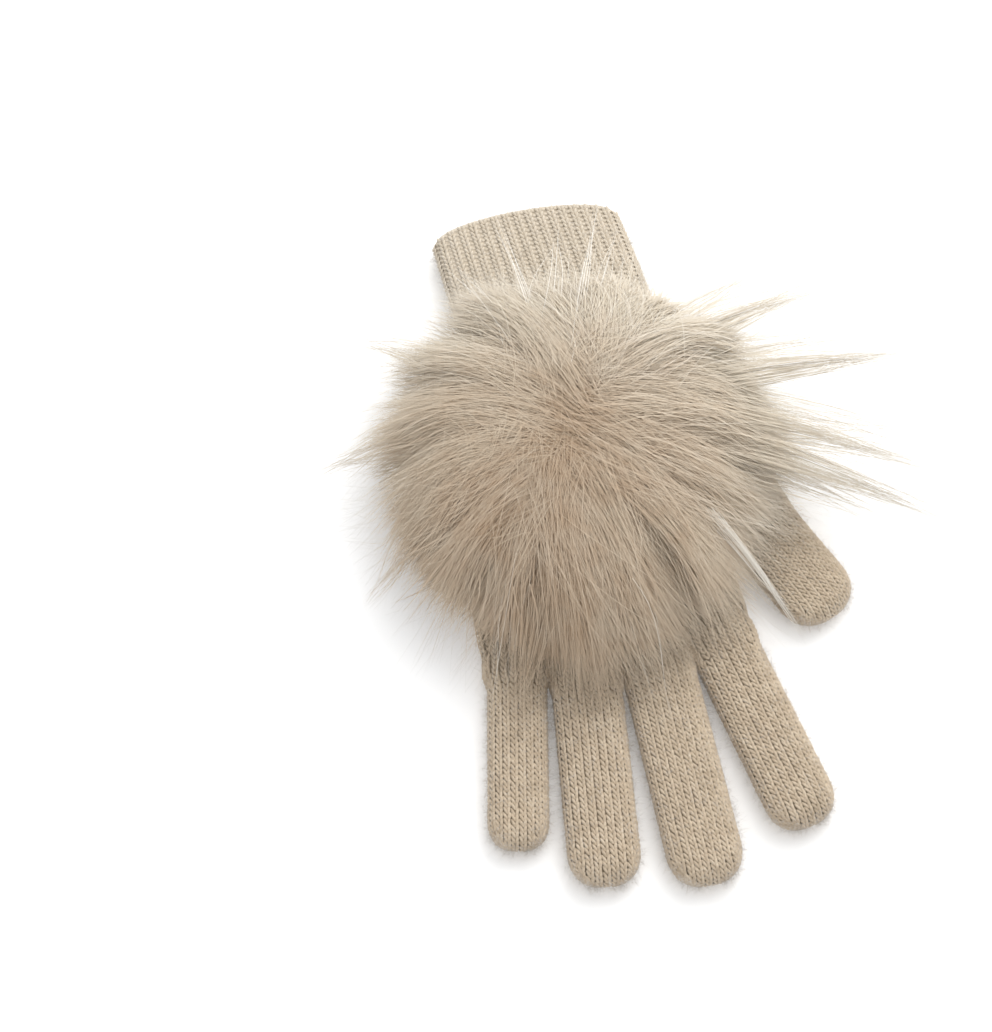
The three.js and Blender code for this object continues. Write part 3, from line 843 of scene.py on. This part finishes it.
def hair_paths(n, steps, reach, depth, lift, root, shed,
               stray=1.0, clump=1.0, scatter=3.5, tail=0.0, spread_roots=False):
    """Hairs that flow out from the parting over the dome, gather into locks and fall to their tips.

    A tuft shares most of its reach (a range of shares of the fur's), its depth below the surface (a range),
    its lift above that (mean and spread) and where it begins (root, a spread from the crown).
    Its single hairs are shorter (shed) or longer (tail), stray sideways and begin apart (scatter), and clump
    says how strongly they gather. With spread_roots they begin all over the dome.
    """
    tufts = max(n // HAIRS_IN_TUFT, 1)
    tuft = rng.integers(0, tufts, n)
    turn = rng.uniform(0, 2 * np.pi, tufts)[tuft] + rng.normal(0, 0.05, n)
    if spread_roots:
        begin = np.sqrt(rng.uniform(0, 1, n)) * 0.78 * reach_at(turn)
    else:
        begin = np.abs(rng.normal(0, 1, tufts)[tuft] * root + rng.normal(0, 4, n))
    far = rng.uniform(*reach, tufts)[tuft] + rng.normal(0, 0.04, n) - np.abs(rng.normal(0, shed, n))
    far += tail * np.minimum(rng.exponential(1, n), 3.4)
    deep = rng.uniform(*depth, tufts)[tuft] * 0.6 + rng.uniform(*depth, n) * 0.4
    high = rng.normal(*lift, tufts)[tuft] * 0.6 + rng.normal(*lift, n) * 0.6
    own = rng.normal(0, 0.085 * stray, tufts)[tuft] + rng.normal(0, 0.036 * stray, n)
    sway, phase = rng.normal(0, 0.9 * stray, n), rng.uniform(0, 6.3, n)
    origin = rng.normal(0, scatter, (n, 2))
    t = np.linspace(0, 1, steps)[None]
    gather = clump * (LOCK_GATHER * LOCKS.slope(turn) + TUFT_GATHER * TUFTS.slope(turn))
    bend = swirl_at(turn) + own
    reach_mm = reach_at(turn + bend + gather) * (1 + LOCK_REACH * LOCKS(turn) + TUFT_REACH * TUFTS(turn))
    far_mm = np.maximum(far * reach_mm, begin + 12)
    rho = begin[:, None] + (far_mm - begin)[:, None] * t
    share = rho / reach_mm[:, None]
    phi = turn[:, None] + bend[:, None] * share**BEND_GROWTH + gather[:, None] * share**2
    side = sway[:, None] * np.sin(3.2 * t + phase[:, None]) * t
    fade = np.clip(1 - share, 0, 1)
    shift = PARTING * np.cos(turn - PARTING_TURN)[:, None] * fade
    c, sn = np.cos(phi), np.sin(phi)
    x = CROWN[0] + shift * np.cos(PARTING_TURN) + origin[:, :1] * fade + rho * c - side * sn
    y = CROWN[1] + shift * np.sin(PARTING_TURN) + origin[:, 1:] * fade + rho * sn + side * c
    z = fur_height(share) + ridges(turn[:, None], share)
    z += high[:, None] * np.sin(np.pi * t * 0.8) - deep[:, None] * (1 - 0.75 * t)
    z = np.maximum(z, ON_HAND - FALL * smoothstep(rho, 50, 76))
    return np.stack([x, y, z], -1)


def fur_piece(name, material, n, steps, width, tip, roll, **shape):
    """One piece of n hairs with the given steps, width, share of it at the tip and spread of roll."""
    paths = hair_paths(n, steps, **shape)
    points, quads = ribbons(paths, taper(n, steps, width, tip), rng.normal(0, roll, n))
    return mesh_object(name, points, quads, material, "fur", fur_normals(points))


def bundle(end, start_turn, start_share, hairs, width, splay, rise):
    """A loose bundle of long hairs that leaves the mass and narrows to a feathery end."""
    turn = np.radians(start_turn)
    out = start_share * reach_at(turn)
    begin = np.array([CROWN[0] + np.cos(turn) * out, CROWN[1] + np.sin(turn) * out, fur_height(start_share)])
    end = begin + (np.array(end, float) - begin) * OVERSHOOT
    middle = (begin + end) / 2 + np.array([0, 0, rise])
    steps = 10
    cut = 1 - 0.55 * rng.uniform(0, 1, (hairs, 1, 1)) ** 1.6
    t = np.linspace(0, 1, steps)[None, :, None] * cut
    line = (1 - t) ** 2 * begin + 2 * t * (1 - t) * middle + t**2 * end
    loose = rng.normal(0, 1, (hairs, 1, 3)) * np.array([1, 1, 0.4]) * splay
    bow = rng.normal(0, 1, (hairs, 1, 3)) * np.array([1, 1, 0.5]) * splay * 0.35
    paths = line + loose * (1 - 0.8 * t) + bow * np.sin(np.pi * t * 1.6)
    return paths, taper(hairs, steps, width, 0.3)


def bundle_piece(name, table, material, roll):
    """One piece of all the bundles in a table."""
    bundles = [bundle(*row) for row in table]
    hairs = [ribbons(paths, widths, rng.normal(0, roll, len(paths))) for paths, widths in bundles]
    points, quads = joined(hairs)
    return mesh_object(name, points, quads, material, "fur", fur_normals(points))


WISPS = [  # end, direction and share of the reach where it leaves, hairs, width, splay, rise
    ((80, 38, 27), 34, 0.6, 150, 0.13, 3.6, 3), ((66, 47, 26), 44, 0.66, 60, 0.12, 3.0, 3),
    ((102, 11, 28), 14, 0.62, 150, 0.13, 3.4, 3), ((88, 21, 27), 24, 0.7, 50, 0.12, 3.6, 2),
    ((100, -23, 22), -4, 0.6, 150, 0.13, 3.8, 4), ((101, -14, 24), 3, 0.66, 70, 0.12, 4.0, 3),
    ((102, -38, 18), -14, 0.6, 160, 0.13, 3.6, 4), ((87, -37, 16), -19, 0.7, 60, 0.12, 4.2, 3),
    ((-8, -84, 13.5), -92, 0.7, 60, 0.12, 3.6, 3), ((-30, -80, 13), -112, 0.7, 80, 0.12, 3.8, 3),
    ((-66, -36, 16), 205, 0.66, 90, 0.13, 3.8, 3), ((-76, 4, 18), 172, 0.7, 90, 0.13, 3.8, 3),
    ((-60, 46, 18), 142, 0.7, 70, 0.13, 3.8, 3),
    # soft ends over the cuff
    ((-22, 61, 20), 116, 0.62, 40, 0.1, 5.0, 3), ((-8, 67, 20), 101, 0.62, 40, 0.1, 5.0, 3),
    ((6, 70, 20), 88, 0.62, 40, 0.1, 5.0, 3), ((19, 69, 20), 75, 0.62, 40, 0.1, 5.0, 3),
    ((31, 63, 20), 62, 0.62, 40, 0.1, 5.0, 3),
    # broad locks that lie over the rest
    ((38, -37, 20), -50, 0.12, 200, 0.12, 6.0, 17), ((56, -10, 21), -12, 0.2, 180, 0.12, 6.0, 16),
    ((-20, -56, 16), 238, 0.26, 180, 0.12, 5.4, 17), ((14, -60, 16), 276, 0.24, 180, 0.12, 5.4, 18),
    ((-41, -32, 16), 196, 0.3, 180, 0.12, 5.4, 16), ((-12, 46, 23), 112, 0.2, 180, 0.12, 6.0, 13),
    ((34, 38, 23), 58, 0.34, 160, 0.12, 6.0, 12),
]

LONG_HAIRS = [  # single pale guard hairs that cross the cuff, and a fine feather beside the thumb
    ((-11, 84, 19), 104, 0.36, 6, 0.13, 2.2, 8), ((23, 86, 19), 84, 0.3, 8, 0.13, 2.6, 8),
    ((29, 76, 19), 66, 0.5, 6, 0.12, 3.4, 7), ((-26, 66, 19), 118, 0.4, 8, 0.12, 3.4, 7),
    ((8, 74, 19), 92, 0.5, 8, 0.11, 4.5, 6), ((56, -64, 9), -43, 0.66, 34, 0.13, 1.1, 6),
    ((14, -84, 13), -84, 0.6, 8, 0.1, 4.5, 4), ((-36, -76, 12), -118, 0.6, 9, 0.1, 4.5, 4),
]


def fur_base():
    """A dome of dense underfur that the hairs cover, with a flat underside tucked in below its edge."""
    turns = np.linspace(0, 2 * np.pi, 180, endpoint=False)
    rings = []
    for share in (0.0, 0.06, 0.14, 0.22, 0.3, 0.38, 0.46, 0.54, 0.6):
        rho = np.maximum(share, 0.004) * reach_at(turns)
        phi = turns + swirl_at(turns) * share**BEND_GROWTH
        height = fur_height(share) + ridges(turns, share) - 3.5 - 3 * share
        height = np.maximum(height, FUR_UNDERSIDE + 0.5)
        rings.append(np.stack([CROWN[0] + rho * np.cos(phi), CROWN[1] + rho * np.sin(phi), height], -1))
    edge = rings[-1]
    for inwards, height in ((0.97, 24.0), (0.86, 17.0), (0.7, FUR_UNDERSIDE + 0.2), (0.02, FUR_UNDERSIDE)):
        rings.append(edge * np.array([inwards, inwards, 0]) + np.array([0, 0, height]))
    faces = grid_faces(len(rings), len(turns), flip=True)
    return mesh_object("fur_base", np.concatenate(rings), faces, FUR_UNDER, "fur")


base = fur_base()
skirt = fur_piece("fur_skirt_hair", FUR_UNDER, 7600, 5, 0.3, 0.2, 0.3, reach=(0.7, 0.98), depth=(7, 24),
                  lift=(0, 1.2), root=22, shed=0.06, stray=1.2, spread_roots=True)
under = fur_piece("fur_under_hair", FUR_UNDER, 7800, 5, 0.26, 0.2, 0.2, reach=(0.55, 0.92), depth=(1.2, 3.6),
                  lift=(-0.4, 0.8), root=22, shed=0.05, tail=0.04, spread_roots=True)
warm = fur_piece("fur_warm_hair", FUR_WARM, 11400, 7, 0.138, 0.2, 0.2, reach=(0.6, 0.95), depth=(0.3, 2.4),
                 lift=(0, 0.8), root=15, shed=0.03, tail=0.055)
pale = fur_piece("fur_pale_hair", FUR_PALE, 12000, 7, 0.115, 0.2, 0.2, reach=(0.62, 0.98), depth=(0, 2),
                 lift=(0.3, 0.9), root=18, shed=0.03, stray=1.4, tail=0.07)
guard = fur_piece("fur_guard_hair", FUR_GUARD, 1400, 10, 0.10, 0.35, 0.4, reach=(0.75, 1.2), depth=(-1, 2),
                  lift=(1.0, 2.0), root=24, shed=0.03, stray=2.8, clump=0.3, scatter=8)
wisps = bundle_piece("fur_wisps", WISPS, FUR_PALE, 0.6)
long_hairs = bundle_piece("fur_long_hairs", LONG_HAIRS, FUR_WHITE, 0.3)
for piece in (base, skirt, under, warm, pale, guard, wisps, long_hairs):
    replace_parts(piece, "fur_pompom")


# Fuzz

FUZZ_LENGTH = 2.6
FUZZ_WIDTH = 0.075
FUZZ_COUNTS = {"cuff": 6500, "hand": 2500, "thumb": 3500, "index_finger": 4400, "middle_finger": 4800,
               "ring_finger": 4600, "little_finger": 3800}


def fuzz_piece(node, slot, points, normals, count):
    """Short fine fibres that stand off the yarn in all directions, most of them along its sides."""
    weights = 0.25 + (1 - np.abs(normals[:, 2])) * 1.5
    pick = rng.choice(len(points), count, p=weights / weights.sum())
    root, normal = points[pick] - 0.3 * normals[pick] + rng.normal(0, 0.6, (count, 3)), normals[pick]
    heading = unit(normal * 0.6 + rng.normal(0, 0.6, (count, 3)))
    turn_aside = rng.normal(0, 0.9, (count, 3))
    t = np.linspace(0, 1, 3)[None, :, None]
    length = FUZZ_LENGTH * rng.uniform(0.3, 1.2, (count, 1, 1))
    paths = root[:, None] + heading[:, None] * length * t + turn_aside[:, None] * t**2
    ahead = unit(np.gradient(paths, axis=1))
    half = FUZZ_WIDTH / 2 * (1 - 0.6 * t) * unit(np.cross(ahead, rng.normal(0, 1, (count, 1, 3))))
    fibres = np.stack([paths - half, paths + half], 2).reshape(-1, 3)
    fibres[:, 2] = np.maximum(fibres[:, 2], 0.05)
    quads = (np.arange(count) * 6)[:, None, None] + np.arange(2)[None, :, None] * 2 + np.array([0, 1, 3, 2])
    piece = mesh_object(f"{node}_fuzz", fibres, quads.reshape(-1, 4), FUZZ, slot)
    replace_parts(piece, node)


for node, (slot, points, normals) in stitch_places.items():
    fuzz_piece(node, slot, points, normals, FUZZ_COUNTS[node])


# Floor, light and camera

floor_mesh = bpy.data.meshes.new("floor")
floor_mesh.from_pydata([(-4, -4, 0), (4, -4, 0), (4, 4, 0), (-4, 4, 0)], [], [(0, 1, 2, 3)])
floor = bpy.data.objects.new("floor", floor_mesh)
bpy.context.scene.collection.objects.link(floor)
floor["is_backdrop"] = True
paper, _, _, shader = node_material("floor_paper")
set_inputs(shader, {"Base Color": (0.93, 0.935, 0.94, 1), "Roughness": 0.9, "Specular IOR Level": 0.1,
                    "Emission Color": (1, 1, 1, 1), "Emission Strength": 0.18})
floor_mesh.materials.append(paper)

world = bpy.data.worlds.new("studio")
bpy.context.scene.world = world
world.use_nodes = True
set_inputs(world.node_tree.nodes["Background"], {"Color": (1.0, 1.0, 1.0, 1), "Strength": 0.72})


def aim(obj, place, target):
    """Stand a light or the camera at a place, looking at a target."""
    obj.location = place
    obj.rotation_euler = (Vector(target) - Vector(place)).to_track_quat("-Z", "Y").to_euler()
    bpy.context.scene.collection.objects.link(obj)


def area_light(name, place, size, watts, colour=(1, 1, 1)):
    """A square light that looks at the origin."""
    light = bpy.data.lights.new(name, "AREA")
    light.shape = "SQUARE"
    light.size = size
    light.energy = watts
    light.color = colour
    aim(bpy.data.objects.new(name, light), place, (0, 0, 0))


area_light("key", (0.5, 0.7, 0.85), 1.1, 11.0, (1, 0.99, 0.97))
area_light("top", (0.1, 0.1, 1.3), 1.0, 3.0)

# The camera stands where the stitches' spacing along and across the fingers puts it
LOOK_AT = np.array([-26.0, -11.1, 0])
ELEVATION, AZIMUTH = np.radians([65, -8.9])
DISTANCE = 620
back = np.array([np.sin(AZIMUTH) * np.cos(ELEVATION), -np.cos(AZIMUTH) * np.cos(ELEVATION),
                 np.sin(ELEVATION)])
camera_data = bpy.data.cameras.new("camera")
camera_data.lens = 69.2
camera_data.sensor_width = 36
camera = bpy.data.objects.new("camera", camera_data)
aim(camera, (LOOK_AT + DISTANCE * back) * MM, LOOK_AT * MM)
bpy.context.scene.camera = camera
bpy.context.scene.view_settings.view_transform = "Standard"

boxes = {"cad": cad_box, "visual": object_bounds()}
{k: [[float(c) for c in corner] for corner in box] for k, box in boxes.items()}
